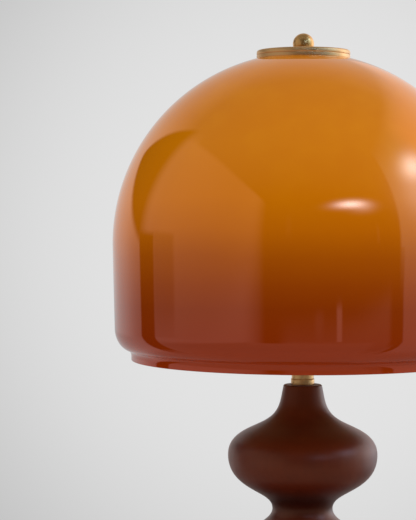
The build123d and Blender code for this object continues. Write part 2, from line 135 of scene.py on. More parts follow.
def softened(*corners: Corner, closed: bool = True) -> np.ndarray:
    """Straight runs with eased corners: each corner is a quadratic curve that leaves and meets its
    two runs at the easing's distance from the corner.

    Args:
        corners: Radius, height and easing of each corner, in order.
        closed: Whether the last run goes back to the first corner.

    Returns:
        Points along the outline.
    """
    points = [np.array(corner[:2]) for corner in corners]
    count = len(points)
    runs = []
    for k, (point, (_, _, ease)) in enumerate(zip(points, corners)):
        if ease == 0 or (not closed and k in (0, count - 1)):
            runs.append(point[None, :])
            continue
        back = points[k - 1] - point
        on = points[(k + 1) % count] - point
        leave = point + back / np.linalg.norm(back) * ease
        meet = point + on / np.linalg.norm(on) * ease
        runs.append(bezier(tuple(leave), tuple(point), tuple(meet), steps=EASE_STEPS))
    return joined(*runs)


def divided(outline: np.ndarray, longest: float) -> np.ndarray:
    """The outline with its long runs cut up, so that a relief on it has points to follow.

    Args:
        outline: Points along the outline.
        longest: Longest run that may stay.

    Returns:
        Points along the same outline.
    """
    runs = []
    for start, end in zip(outline[:-1], outline[1:]):
        cuts = max(1, math.ceil(np.linalg.norm(end - start) / longest))
        share = np.linspace(0, 1, cuts + 1)[:, None]
        runs.append(start + (end - start) * share)
    return joined(*runs)


@dataclass(frozen=True)
class Spindle:
    """The line that a piece is turned about."""

    origin: Place = (0.0, 0.0, 0.0)
    along: Place = (0.0, 0.0, 1.0)
    across: Place = (1.0, 0.0, 0.0)

    def place(self, radius: np.ndarray, height: np.ndarray, turn: np.ndarray) -> np.ndarray:
        """Points at origin + height along + radius (cos turn across + sin turn (along x across)).

        Args:
            radius: Distance from the spindle.
            height: Distance along the spindle.
            turn: Angle about the spindle, in radians.

        Returns:
            Points, with x, y and z on the last axis.
        """
        along, across = np.array(self.along), np.array(self.across)
        third = np.cross(along, across)
        sweep = np.cos(turn)[..., None] * across + np.sin(turn)[..., None] * third
        return np.array(self.origin) + height[..., None] * along + radius[..., None] * sweep


UPRIGHT = Spindle()


def lathe(
    name: str,
    outline: np.ndarray,
    spindle: Spindle = UPRIGHT,
    columns: int = 96,
    closed: bool = True,
    relief: Relief | None = None,
    lining_from: int | None = None,
) -> bpy.types.Object:
    """A turned piece: the outline carried round its spindle, as a grid of outline row by turn.

    The outline runs up its outer side. The UV map holds the share of a turn and the distance
    along the outline in metres.

    Args:
        name: Name of the piece.
        outline: (radius, height) rows. An open outline starts and ends on the spindle.
        spindle: Line that it is turned about.
        columns: Steps round the turn.
        closed: Whether the last row joins the first.
        relief: Change of radius as a function of outline and turn, for flutes and threads.
        lining_from: First row whose faces take the second finish.

    Returns:
        The new object, linked to the scene, with its place in its mesh.
    """
    rows = len(outline)
    bands = rows if closed else rows - 1
    turn = np.linspace(0, FULL_TURN, columns, endpoint=False)[None, :]
    height = np.repeat(outline[:, 1:2], columns, axis=1)
    radius = np.repeat(outline[:, :1], columns, axis=1)
    if relief is not None:
        radius = radius + relief(outline, turn)
    points = spindle.place(radius, height, np.repeat(turn, rows, axis=0)).reshape(-1, 3)

    band, column = np.meshgrid(np.arange(bands), np.arange(columns), indexing="ij")
    here = band * columns
    above = (band + 1) % rows * columns
    beside = (column + 1) % columns
    faces = np.stack([here + column, here + beside, above + beside, above + column], axis=-1)

    ring = np.vstack([outline, outline[:1]])
    travel = np.concatenate([[0], np.cumsum(np.linalg.norm(np.diff(ring, axis=0), axis=1))])
    turns = np.stack([column, column + 1, column + 1, column], axis=-1) / columns
    lengths = np.stack([travel[band], travel[band], travel[band + 1], travel[band + 1]], axis=-1)

    mesh = bpy.data.meshes.new(name)
    mesh.from_pydata(points.tolist(), [], faces.reshape(-1, 4).tolist())
    mapping = mesh.uv_layers.new(name="UVMap")
    mapping.data.foreach_set("uv", np.stack([turns, lengths], axis=-1).ravel())
    if lining_from is not None:
        mesh.polygons.foreach_set("material_index", (band.ravel() >= lining_from).astype(np.int32))
    close_seams(mesh)
    piece = bpy.data.objects.new(name, mesh)
    bpy.context.scene.collection.objects.link(piece)
    return piece


def close_seams(mesh: bpy.types.Mesh) -> None:
    """Merge the points that meet at a pole, and shade smooth between the sharp edges.

    Args:
        mesh: The mesh, changed in place.
    """
    work = bmesh.new()
    work.from_mesh(mesh)
    bmesh.ops.remove_doubles(work, verts=work.verts, dist=TINY)
    work.to_mesh(mesh)
    work.free()
    mesh.shade_smooth()
    mesh.set_sharp_from_angle(angle=SHARP_ANGLE)
    mesh.update()


# Shader trees


class Effect(Enum):
    """Shared shader effects, by the names of their node groups."""

    CLOUDING = "clouding"
    TURNING = "turning_marks"
    GRAIN = "fine_grain"
    PANEL = "light_panel"
    SPOT = "light_spot"


class Graph:
    """A node tree with short calls that add and join its nodes."""

    # Blender's numbers of a Mix node's two inputs and its output, by the kind of mix
    MIX_SOCKETS = {"RGBA": (6, 7, 2), "FLOAT": (2, 3, 0)}

    def __init__(self, tree: bpy.types.NodeTree) -> None:
        """Keep the tree that nodes are added to."""
        self.tree = tree

    def put(self, socket: Socket, value: object) -> None:
        """Link an input, or set it. A colour is set with full opacity.

        Args:
            socket: The input.
            value: The output that it is linked to, or its own value.
        """
        if isinstance(value, Socket):
            self.tree.links.new(value, socket)
        else:
            socket.default_value = rgba(value) if socket.type == "RGBA" else value

    def add(self, kind: str, inputs: dict | None = None, **settings: object) -> bpy.types.Node:
        """Add a node.

        Args:
            kind: Blender's name for the type of node.
            inputs: Values or sockets by the name or number of the input.
            settings: The node's own properties, set before its inputs.

        Returns:
            The node.
        """
        node = self.tree.nodes.new(kind)
        for key, value in settings.items():
            setattr(node, key, value)
        for key, value in (inputs or {}).items():
            self.put(node.inputs[key], value)
        return node

    def math(self, operation: str, *values: float | Socket) -> Socket:
        """The result of a Math node on the values."""
        return self.add("ShaderNodeMath", dict(enumerate(values)), operation=operation).outputs[0]

    def dot(self, first: Socket, second: Socket | Place) -> Socket:
        """The dot product of two vectors."""
        pair = {0: first, 1: second}
        return self.add("ShaderNodeVectorMath", pair, operation="DOT_PRODUCT").outputs["Value"]

    def parts(self, vector: Socket) -> Sequence[Socket]:
        """The X, Y and Z of a vector."""
        return self.add("ShaderNodeSeparateXYZ", {0: vector}).outputs

    def mix(self, kind: str, share: float | Socket, first: object, second: object) -> Socket:
        """First times 1 - share, plus second times share.

        Args:
            kind: RGBA for colours, FLOAT for values.
            share: Share of the second.
            first: Colour, value or socket.
            second: Colour, value or socket.

        Returns:
            The mixed output.
        """
        first_in, second_in, out = self.MIX_SOCKETS[kind]
        inputs = {0: share, first_in: first, second_in: second}
        return self.add("ShaderNodeMix", inputs, data_type=kind).outputs[out]

    # A mix of two colours, and a mix of two values
    blend = functools.partialmethod(mix, "RGBA")
    between = functools.partialmethod(mix, "FLOAT")

    def mean(self, first: Socket, second: Socket) -> Socket:
        """The mean of two values."""
        return self.between(0.5, first, second)

    def ramp(self, value: Socket, low: float | Socket, high: float | Socket) -> Socket:
        """A smooth step from 0 at low to 1 at high."""
        inputs = {"Value": value, "From Min": low, "From Max": high}
        return self.add("ShaderNodeMapRange", inputs, interpolation_type="SMOOTHSTEP").outputs[0]

    def noise(
        self, vector: Socket, scale: float | Socket, detail: float = 2.0, rough: float = 0.5
    ) -> Socket:
        """Soft noise between about 0.2 and 0.8."""
        inputs = {"Vector": vector, "Scale": scale, "Detail": detail, "Roughness": rough}
        return self.add("ShaderNodeTexNoise", inputs).outputs[0]

    def stretched(self, vector: Socket, scale: Place, shift: Place = (0.0, 0.0, 0.0)) -> Socket:
        """The coordinates scaled on each axis and moved by shift."""
        inputs = {"Vector": vector, "Location": shift, "Scale": scale}
        return self.add("ShaderNodeMapping", inputs).outputs[0]

    def effect(self, effect: Effect, inputs: dict) -> bpy.types.Node:
        """A shared effect, placed with its own values."""
        return self.add("ShaderNodeGroup", inputs, node_tree=bpy.data.node_groups[effect.value])

    def cloud(self, vector: Socket, clouds: Clouds) -> Socket:
        """The mask of the clouding effect, by its scale and the levels it is drawn between."""
        inputs = dict(zip(("Scale", "Low", "High"), clouds), Vector=vector)
        return self.effect(Effect.CLOUDING, inputs).outputs["Mask"]

    def grain(self, vector: Socket, scale: float) -> tuple[Socket, Socket]:
        """The height and the tone of the fine grain."""
        outputs = self.effect(Effect.GRAIN, {"Vector": vector, "Scale": scale}).outputs
        return outputs["Height"], outputs["Tone"]

    def object_point(self) -> Socket:
        """Where the shaded point is in the lamp's own frame."""
        return self.add("ShaderNodeTexCoord").outputs["Object"]

    def bumped(self, height: Socket, depth: float, strength: float = 1.0) -> Socket:
        """A normal tilted by a height of 0 to 1 that stands for the given depth in metres."""
        inputs = {"Height": height, "Distance": depth, "Strength": strength}
        return self.add("ShaderNodeBump", inputs).outputs[0]


def cleared(holder: bpy.types.Material | bpy.types.World) -> Graph:
    """Give a material or world an empty tree of its own.

    Args:
        holder: The material or world.

    Returns:
        The graph of its tree.
    """
    holder.use_nodes = True
    holder.node_tree.nodes.clear()
    return Graph(holder.node_tree)


def new_effect(
    effect: Effect, vectors: Sequence[str], values: dict[str, float], outputs: Sequence[str]
) -> tuple[Graph, dict[str, Socket], dict[str, Socket]]:
    """An empty node group with named sockets.

    Args:
        effect: Which effect it is.
        vectors: Names of the vector inputs.
        values: Default of each value input, by name.
        outputs: Names of the value outputs.

    Returns:
        The graph, its input sockets by name, and its output sockets by name.
    """
    tree = bpy.data.node_groups.new(effect.value, "ShaderNodeTree")
    for name in vectors:
        tree.interface.new_socket(name, in_out="INPUT", socket_type="NodeSocketVector")
    for name, default in values.items():
        socket = tree.interface.new_socket(name, in_out="INPUT", socket_type="NodeSocketFloat")
        socket.default_value = default
    for name in outputs:
        tree.interface.new_socket(name, in_out="OUTPUT", socket_type="NodeSocketFloat")
    start = tree.nodes.new("NodeGroupInput")
    end = tree.nodes.new("NodeGroupOutput")
    given = {name: start.outputs[name] for name in (*vectors, *values)}
    wanted = {name: end.inputs[name] for name in outputs}
    return Graph(tree), given, wanted


def make_clouding() -> None:
    """Cloudy patches: two sizes of noise, drawn apart between two levels."""
    finer, small_share = 4.3, 0.35
    values = {"Scale": 10.0, "Low": 0.4, "High": 0.6}
    graph, given, wanted = new_effect(Effect.CLOUDING, ["Vector"], values, ["Mask"])
    broad = graph.noise(given["Vector"], given["Scale"])
    small_scale = graph.math("MULTIPLY", given["Scale"], finer)
    small = graph.noise(given["Vector"], small_scale, detail=3.0)
    cloud = graph.between(small_share, broad, small)
    graph.put(wanted["Mask"], graph.ramp(cloud, given["Low"], given["High"]))


def make_turning_marks() -> None:
    """Tool marks of a lathe: noise that changes quickly along the outline and hardly round it."""
    wear_scale, wear_levels = 0.13, (0.35, 0.7)
    values = {"Lines per metre": 4000.0, "Waver": 1.5}
    graph, given, wanted = new_effect(Effect.TURNING, ["UV"], values, ["Height", "Wear"])
    share, travel, _ = graph.parts(given["UV"])
    turn = graph.math("MULTIPLY", share, FULL_TURN)
    along = graph.math("MULTIPLY", travel, given["Lines per metre"])
    side = graph.math("MULTIPLY", graph.math("SINE", turn), given["Waver"])
    front = graph.math("MULTIPLY", graph.math("COSINE", turn), given["Waver"])
    point = graph.add("ShaderNodeCombineXYZ", {0: side, 1: front, 2: along}).outputs[0]
    graph.put(wanted["Height"], graph.noise(point, 1.0))
    graph.put(wanted["Wear"], graph.ramp(graph.noise(point, wear_scale), *wear_levels))


def make_fine_grain() -> None:
    """Fine even grain, as on moulded, cast or fibrous surfaces, with a broader change of tone."""
    broader, levels = 0.07, (0.3, 0.7)
    outputs = ["Height", "Tone"]
    graph, given, wanted = new_effect(Effect.GRAIN, ["Vector"], {"Scale": 900.0}, outputs)
    fine = graph.noise(given["Vector"], given["Scale"], rough=0.6)
    tone_scale = graph.math("MULTIPLY", given["Scale"], broader)
    tone = graph.noise(given["Vector"], tone_scale, detail=3.0)
    graph.put(wanted["Height"], graph.ramp(fine, *levels))
    graph.put(wanted["Tone"], graph.ramp(tone, *levels))


PANEL_PLACE = ("Toward", "Across", "Up")
PANEL_EDGES = ("Left", "Right", "Bottom", "Top")
PANEL_SOFTNESS = ("Blur across", "Blur up", "Slant low", "Slant high")


def make_light_panel() -> None:
    """A soft-edged panel on one wall of the studio: 1 inside its four edges, 0 outside.

    The lower and upper edges may slope: each is its height plus its slant times the place across.
    """
    least, grazing = 0.001, 0.01
    values = dict.fromkeys(PANEL_PLACE + PANEL_EDGES + PANEL_SOFTNESS, 0.0)
    graph, given, wanted = new_effect(Effect.PANEL, [], values, ["Mask"])
    toward = graph.math("MAXIMUM", given["Toward"], least)
    across = graph.math("DIVIDE", given["Across"], toward)
    up = graph.math("DIVIDE", given["Up"], toward)
    bottom = graph.math("MULTIPLY_ADD", across, given["Slant low"], given["Bottom"])
    top = graph.math("MULTIPLY_ADD", across, given["Slant high"], given["Top"])
    sides = (
        (across, given["Left"], given["Blur across"]),
        (given["Right"], across, given["Blur across"]),
        (up, bottom, given["Blur up"]),
        (top, up, given["Blur up"]),
    )
    mask = graph.math("GREATER_THAN", given["Toward"], grazing)
    for upper, lower, blur in sides:
        inward = graph.math("SUBTRACT", upper, lower)
        inside = graph.ramp(inward, graph.math("MULTIPLY", blur, -1.0), blur)
        mask = graph.math("MULTIPLY", mask, inside)
    graph.put(wanted["Mask"], mask)


def make_light_spot() -> None:
    """A soft glow about one way in the studio: exp(-a^2 - b^2), where a and b are the distances
    across and up from that way, over the glow's spread."""
    vectors = ("Way", "Centre", "Across", "Up")
    values = {"Wide": 0.1, "High": 0.1}
    graph, given, wanted = new_effect(Effect.SPOT, vectors, values, ["Mask"])
    squares = []
    for side, spread in (("Across", "Wide"), ("Up", "High")):
        off = graph.math("DIVIDE", graph.dot(given["Way"], given[side]), given[spread])
        squares.append(graph.math("POWER", off, 2.0))
    glow = graph.math("EXPONENT", graph.math("MULTIPLY", graph.math("ADD", *squares), -1.0))
    ahead = graph.math("GREATER_THAN", graph.dot(given["Way"], given["Centre"]), 0.0)
    graph.put(wanted["Mask"], graph.math("MULTIPLY", glow, ahead))


def make_effects() -> None:
    """Build every shared effect once."""
    make_clouding()
    make_turning_marks()
    make_fine_grain()
    make_light_panel()
    make_light_spot()


# Finishes


@dataclass(frozen=True)
class Finish:
    """What every finish has: a name, and a material that is built once."""

    name: str

    @functools.cache
    def material(self) -> bpy.types.Material:
        """The finish as a material, made the first time that it is asked for.

        Returns:
            The material.
        """
        material = bpy.data.materials.new(self.name)
        graph = cleared(material)
        shader = graph.add("ShaderNodeBsdfPrincipled", self.inputs(graph))
        graph.add("ShaderNodeOutputMaterial", {"Surface": shader.outputs[0]})
        return material

    def inputs(self, graph: Graph) -> dict[str, object]:
        """The shader's inputs by name. Each finish has its own."""
        raise NotImplementedError


@dataclass(frozen=True)
class AmberGlass(Finish):
    """Glossy cased glass that shades from amber above to red-brown at the rim.

    The casing behind the amber mirrors too, so a share of the image in the glass takes its colour.
    """

    rim: float
    shades: tuple[tuple[float, Colour], ...] = (
        # The rows at the lip are lighter than the wall just above: partly the glass's own
        # red-brown, partly painted light that makes up for the shade under the dome's overhang
        (0.000, (0.360, 0.0345, 0.0006)),
        (0.010, (0.340, 0.0330, 0.0006)),
        (0.022, (0.290, 0.0290, 0.0006)),
        (0.055, (0.301, 0.0390, 0.0006)),
        (0.075, (0.364, 0.0585, 0.0006)),
        (0.100, (0.470, 0.0960, 0.0006)),
        (0.125, (0.630, 0.1560, 0.0006)),
        (0.152, (0.730, 0.2010, 0.0007)),
        (0.200, (0.768, 0.2310, 0.0008)),
        (0.285, (0.755, 0.2310, 0.0008)),
    )
    drift: float = 0.017
    drift_scale: float = 9.0
    pale: Colour = (0.84, 0.285, 0.002)
    pale_share: float = 0.5
    pale_clouds: Clouds = (11.0, 0.42, 0.72)
    pale_heights: Point = (0.10, 0.24)
    roughness: float = 0.022
    smudge: float = 0.03
    smudge_clouds: Clouds = (24.0, 0.4, 0.75)
    ripple_scale: float = 14.0
    ripple_depth: float = 0.0012
    ripple_strength: float = 0.2
    casing: float = 0.25
    gloss: float = 0.667

    def inputs(self, graph: Graph) -> dict[str, object]:
        """Colour by height above the rim, with a clouded, wandering edge between the shades.

        Args:
            graph: The material's tree.

        Returns:
            The shader's inputs by name.
        """
        point = graph.object_point()
        height = graph.math("SUBTRACT", graph.parts(point)[2], self.rim)
        drift = graph.noise(point, self.drift_scale, detail=3.0)
        wander = graph.math("SUBTRACT", drift, NOISE_MIDDLE)
        height = graph.math("MULTIPLY_ADD", wander, self.drift, height)
        top = self.shades[-1][0]
        ramp = graph.add("ShaderNodeValToRGB", {0: graph.math("DIVIDE", height, top)})
        stops = ramp.color_ramp.elements
        stops[0].color, stops[1].color = rgba(self.shades[0][1]), rgba(self.shades[-1][1])
        for level, shade in self.shades[1:-1]:
            stops.new(level / top).color = rgba(shade)
        cloud = graph.cloud(point, self.pale_clouds)
        share = graph.math("MULTIPLY", cloud, graph.ramp(height, *self.pale_heights))
        share = graph.math("MULTIPLY", share, self.pale_share)
        smudges = graph.cloud(point, self.smudge_clouds)
        ripple = graph.noise(point, self.ripple_scale, detail=1.0)
        return {
            "Base Color": graph.blend(share, ramp.outputs[0], self.pale),
            "Roughness": graph.math("MULTIPLY_ADD", smudges, self.smudge, self.roughness),
            "Normal": graph.bumped(ripple, self.ripple_depth, self.ripple_strength),
            "Metallic": self.casing,
            "IOR": GLASS_IOR,
            "Specular IOR Level": self.gloss,
        }


@dataclass(frozen=True)
class PaleGlass(Finish):
    """Pale glass: the warm lining of the dome, or an etched bulb."""

    colour: Colour
    shade: Colour
    roughness: float = 0.12
    grain: float = 300.0
    grain_depth: float = 0.00004
    dulling: float = 0.08
    clouds: Clouds = (18.0, 0.35, 0.75)

    def inputs(self, graph: Graph) -> dict[str, object]:
        """A nearly even colour with faint clouds and a fine tooth.

        Args:
            graph: The material's tree.

        Returns:
            The shader's inputs by name.
        """
        point = graph.object_point()
        cloud = graph.cloud(point, self.clouds)
        height, tone = graph.grain(point, self.grain)
        return {
            "Base Color": graph.blend(cloud, self.colour, self.shade),
            "Roughness": graph.math("MULTIPLY_ADD", tone, self.dulling, self.roughness),
            "Normal": graph.bumped(height, self.grain_depth),
            "IOR": GLASS_IOR,
        }


@dataclass(frozen=True)
class Metal(Finish):
    """A bare metal: bright where it is clean, darker and duller where it has tarnished."""

    colour: Colour
    tarnish: Colour
    roughness: float = 0.26
    dulling: float = 0.12
    film: float = 0.15
    turned: bool = True
    patches: Clouds = (60.0, 0.42, 0.7)
    cast_grain: float = 1400.0
    mark_depth: float = 0.00003

    def inputs(self, graph: Graph) -> dict[str, object]:
        """Tarnish in clouds over tool marks round the piece, or over a cast grain.

        Where it has tarnished, a dull film covers part of the bare metal.

        Args:
            graph: The material's tree.

        Returns:
            The shader's inputs by name.
        """
        point = graph.object_point()
        cloud = graph.cloud(point, self.patches)
        if self.turned:
            place = graph.add("ShaderNodeTexCoord").outputs["UV"]
            marks = graph.effect(Effect.TURNING, {"UV": place}).outputs
            height, tone = marks["Height"], marks["Wear"]
        else:
            height, tone = graph.grain(point, self.cast_grain)
        dull = graph.mean(cloud, tone)
        return {
            "Base Color": graph.blend(dull, self.colour, self.tarnish),
            "Roughness": graph.math("MULTIPLY_ADD", dull, self.dulling, self.roughness),
            "Normal": graph.bumped(height, self.mark_depth),
            "Metallic": graph.math("MULTIPLY_ADD", dull, -self.film, 1.0),
        }


@dataclass(frozen=True)
class StainedWood(Finish):
    """Dark red-brown stained wood under a satin lacquer."""

    dark: Colour = (0.066, 0.0050, 0.0004)
    light: Colour = (0.106, 0.0100, 0.0010)
    # Painted shade: a darker colour about the height of the waist's cove, standing in for the shade
    # that falls there
    painted_cove_shade: Colour = (0.014, 0.0012, 0.0004)
    painted_shade_height: float = 0.117
    painted_shade_reach: float = 0.021
    painted_shade_share: float = 0.8
    pith: Place = (0.031, 0.022, 0.0)
    ring_stretch: Place = (1.0, 1.0, 0.16)
    ring_scale: float = 70.0
    ring_waver: float = 2.4
    ring_waver_scale: float = 1.2
    fibre_stretch: Place = (420.0, 420.0, 14.0)
    fibre_levels: Point = (0.2, 0.8)
    fibre_share: float = 0.7
    pore_stretch: Place = (1500.0, 1500.0, 55.0)
    pore_levels: Point = (0.62, 0.74)
    pore_share: float = 0.3
    pore_depth: float = 0.7
    patches: Clouds = (13.0, 0.3, 0.75)
    patch_share: float = 0.6
    grain_depth: float = 0.000008
    roughness: float = 0.36
    dulling: float = 0.06
    gloss: float = 0.85
    gloss_tint: Colour = (0.9, 0.52, 0.34)
    sheen: float = 0.24
    sheen_spread: float = 0.22
    sheen_tint: Colour = (1.0, 0.66, 0.62)

    def inputs(self, graph: Graph) -> dict[str, object]:
        """Growth rings round an off-centre pith, fibres along the height, fine dark pores, and
        painted shade that darkens the cove of the waist.

        Args:
            graph: The material's tree.

        Returns:
            The shader's inputs by name.
        """
        point = graph.object_point()
        wave = {
            "Vector": graph.stretched(point, self.ring_stretch, self.pith),
            "Scale": self.ring_scale,
            "Distortion": self.ring_waver,
            "Detail Scale": self.ring_waver_scale,
        }
        kind = {"wave_type": "RINGS", "rings_direction": "Z"}
        rings = graph.add("ShaderNodeTexWave", wave, **kind).outputs[0]
        fibre = graph.noise(graph.stretched(point, self.fibre_stretch), 1.0, detail=3.0, rough=0.6)
        pores = graph.noise(graph.stretched(point, self.pore_stretch), 1.0, detail=1.0)
        pore = graph.ramp(pores, *self.pore_levels)
        patches = graph.cloud(point, self.patches)
        tone = graph.between(self.fibre_share, rings, graph.ramp(fibre, *self.fibre_levels))
        tone = graph.between(self.patch_share, tone, patches)
        colour = graph.blend(tone, self.dark, self.light)
        colour = graph.blend(graph.math("MULTIPLY", pore, self.pore_share), colour, self.dark)
        # Painted shade: the colour darkens towards the cove of the waist, where less light reaches
        off = graph.math("SUBTRACT", graph.parts(point)[2], self.painted_shade_height)
        painted_shade_mask = graph.ramp(graph.math("ABSOLUTE", off), self.painted_shade_reach, 0.0)
        painted_shade_mask = graph.math("MULTIPLY", painted_shade_mask, self.painted_shade_share)
        relief = graph.math("MULTIPLY_ADD", pore, -self.pore_depth, fibre)
        return {
            "Base Color": graph.blend(painted_shade_mask, colour, self.painted_cove_shade),
            "Roughness": graph.math("MULTIPLY_ADD", fibre, self.dulling, self.roughness),
            "Normal": graph.bumped(relief, self.grain_depth),
            "IOR": GLASS_IOR,
            "Specular IOR Level": self.gloss,
            "Specular Tint": self.gloss_tint,
            "Sheen Weight": self.sheen,
            "Sheen Tint": self.sheen_tint,
            "Sheen Roughness": self.sheen_spread,
        }


@dataclass(frozen=True)
class Grained(Finish):
    """A dull finish with an even grain: felt, rubber, moulded plastic, fibre board or cast iron."""

    colour: Colour
    shade: Colour
    roughness: float
    grain: float
    depth: float
    metallic: float = 0.0
    sheen: float = 0.0
    smoothing: float = 0.12

    def inputs(self, graph: Graph) -> dict[str, object]:
        """Two tones over a fine grain.

        Args:
            graph: The material's tree.

        Returns:
            The shader's inputs by name.
        """
        height, tone = graph.grain(graph.object_point(), self.grain)
        return {
            "Base Color": graph.blend(graph.mean(tone, height), self.shade, self.colour),
            "Roughness": graph.math("MULTIPLY_ADD", tone, -self.smoothing, self.roughness),
            "Normal": graph.bumped(height, self.depth),
            "Metallic": self.metallic,
            "Sheen Weight": self.sheen,
        }


BRASS = Metal(
    "turned_brass", (0.85, 0.51, 0.22), (0.69, 0.39, 0.15), roughness=0.38, dulling=0.08, film=0.5
)
POLISHED_BRASS = Metal(
    "polished_brass", (0.86, 0.48, 0.165), (0.74, 0.39, 0.12), roughness=0.30, film=0.35
)
CAST_BRASS = Metal(
    "pressed_brass", (0.80, 0.45, 0.17), (0.54, 0.28, 0.09), roughness=0.36, film=0.4, turned=False
)
STEEL = Metal(
    "plated_steel", (0.62, 0.61, 0.58), (0.36, 0.35, 0.33), roughness=0.34, turned=False
)
TURNED_STEEL = Metal("threaded_steel", (0.62, 0.61, 0.58), (0.36, 0.35, 0.33), roughness=0.30)
NICKEL = Metal("bright_nickel", (0.72, 0.69, 0.63), (0.50, 0.47, 0.42), roughness=0.18)
PRESSED_NICKEL = Metal(
    "pressed_nickel", (0.72, 0.69, 0.63), (0.50, 0.47, 0.42), roughness=0.20, turned=False
)
IRON = Grained(
    "cast_iron", (0.075, 0.074, 0.078), (0.030, 0.030, 0.032),
    roughness=0.72, grain=500.0, depth=0.0004, metallic=0.6,
)
FELT = Grained(
    "green_felt", (0.030, 0.085, 0.045), (0.010, 0.034, 0.018),
    roughness=0.98, grain=2200.0, depth=0.0003, sheen=0.06,
)
RUBBER = Grained(
    "bush_rubber", (0.022, 0.020, 0.019), (0.010, 0.009, 0.009),
    roughness=0.72, grain=1200.0, depth=0.00004,
)
GASKET = Grained(
    "brown_gasket", (0.130, 0.065, 0.030), (0.070, 0.034, 0.016),
    roughness=0.80, grain=900.0, depth=0.00008,
)
PLASTIC = Grained(
    "moulded_plastic", (0.020, 0.018, 0.016), (0.011, 0.010, 0.009),
    roughness=0.42, grain=1600.0, depth=0.00003,
)
FIBRE = Grained(
    "fibre_board", (0.30, 0.23, 0.14), (0.19, 0.14, 0.08),
    roughness=0.85, grain=700.0, depth=0.0001,
)
LINING = PaleGlass("warm_lining", (0.78, 0.56, 0.30), (0.68, 0.46, 0.22))
BULB_GLASS = PaleGlass(
    "etched_bulb", (0.84, 0.83, 0.79), (0.78, 0.76, 0.71), roughness=0.34, grain=900.0
)


# Pieces on the frame


def stand_in(piece: bpy.types.Object, node: str, *finishes: Finish) -> None:
    """Put a new piece in a node's place, on the node's body and with its slot.

    Args:
        piece: The new piece.
        node: The node that it stands for.
        finishes: Finish of each of its material slots, in order.
    """
    for finish in finishes:
        piece.data.materials.append(finish.material())
    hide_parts(node)
    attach(piece, frame["nodes"][node]["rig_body"])
    LOG.info("%s stands for %s, in %s", piece.name, node, finishes[0].name)


def dress(finish: Finish, *nodes: str) -> None:
    """Give nodes that keep their own shape a better finish.

    Args:
        finish: The finish.
        nodes: Names of the nodes.
    """
    for node in nodes:
        frame["nodes"][node].material_slots[0].material = finish.material()
        LOG.info("%s keeps its shape, in %s", node, finish.name)


def thread(
    outline: np.ndarray, turn: np.ndarray, pitch: float, depth: float, low: float, high: float
) -> np.ndarray:
    """A round thread: depth times a raised cosine of height / pitch - turns, which fades in and
    out within one pitch of its two ends.

    Args:
        outline: (radius, height) rows.
        turn: Angles round the spindle.
        pitch: Rise of the thread in one turn.
        depth: Depth of its valleys.
        low: Height where it starts.
        high: Height where it ends.

    Returns:
        The change of radius, rows by turns.
    """
    height = outline[:, 1:2]
    phase = FULL_TURN * height / pitch - turn
    fade = np.clip(np.minimum(height - low, high - height) / pitch, 0, 1)
    return -depth * fade * (0.5 - 0.5 * np.cos(phase))


@dataclass
class GlassDome:
    """The cased glass dome, from its tucked-under lip to the land under the cap."""

    wall: float = 0.004
    skirt_rise: float = 0.0303
    skirt_taper: float = 0.002
    lip_tuck: float = 0.0156
    lip_height: float = 0.0093
    lip_blend: float = 0.0056
    bead_rise: float = 0.0062
    bead_tuck: float = 0.0016
    inner_edge: float = 0.0012
    land: float = 0.038
    hole: float = 0.008
    columns: int = 288

    def __post_init__(self) -> None:
        """Read the rim, the crown and the radius from the frame."""
        low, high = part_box("glass_shade")
        self.rim, self.crown, self.radius = low.z, high.z, high.x
        self.centre = self.crown - math.sqrt(self.radius**2 - self.land**2)
        self.skirt = self.rim + self.skirt_rise
        self.lip_top = self.rim + self.lip_height

    def face(self, inset: float) -> np.ndarray:
        """One face of the wall, from the lip up to the crown: a straight lip, a quarter ellipse
        under the wall, the tapered wall and part of a circle.

        Args:
            inset: How far the face lies inside the outer one.

        Returns:
            Points up the face.
        """
        radius = self.radius - inset
        skirt_radius = self.radius - self.skirt_taper - inset
        lip = self.radius - self.skirt_taper - self.lip_tuck - inset
        lip_top = self.lip_top + inset
        tuck = (self.lip_tuck, self.skirt - lip_top)
        start = -math.degrees(math.acos(self.lip_blend / self.lip_tuck))
        under = arc((lip, self.skirt), tuck, start, 0, steps=28)
        foot = (lip, lip_top - self.lip_blend)
        blend = bezier(foot, (lip, lip_top), tuple(under[0]), steps=8)
        lift = math.degrees(math.asin((self.crown - inset - self.centre) / radius))
        dome = arc((0, self.centre), (radius, radius), 0, lift, steps=72)
        return joined(blend, under, np.array([(skirt_radius, self.skirt)]), dome)

    def build(self) -> None:
        """Turn the dome, with a beaded rim and a warm lining."""
        outside, inside = self.face(0), self.face(self.wall)[::-1]
        lip, inner_lip = outside[0, 0], inside[-1, 0]
        edge = (
            (inner_lip, self.rim + self.inner_edge),
            (inner_lip, self.rim),
            (inner_lip + self.inner_edge, self.rim),
        )
        bead = (
            (lip - self.bead_tuck, self.rim),
            (lip, self.rim),
            (lip, self.rim + self.bead_rise - self.lip_blend),
        )
        rim = joined(bezier(*edge, steps=6), bezier(*bead, steps=14))
        crown = np.array([(self.hole, self.crown), (self.hole, self.crown - self.wall)])
        outline = joined(rim, outside, crown, inside)
        lining = len(rim) + len(outside) + 1
        piece = lathe("glass_dome", outline, columns=self.columns, lining_from=lining)
        stand_in(piece, "glass_shade", AmberGlass("ombre_glass", self.rim), LINING)


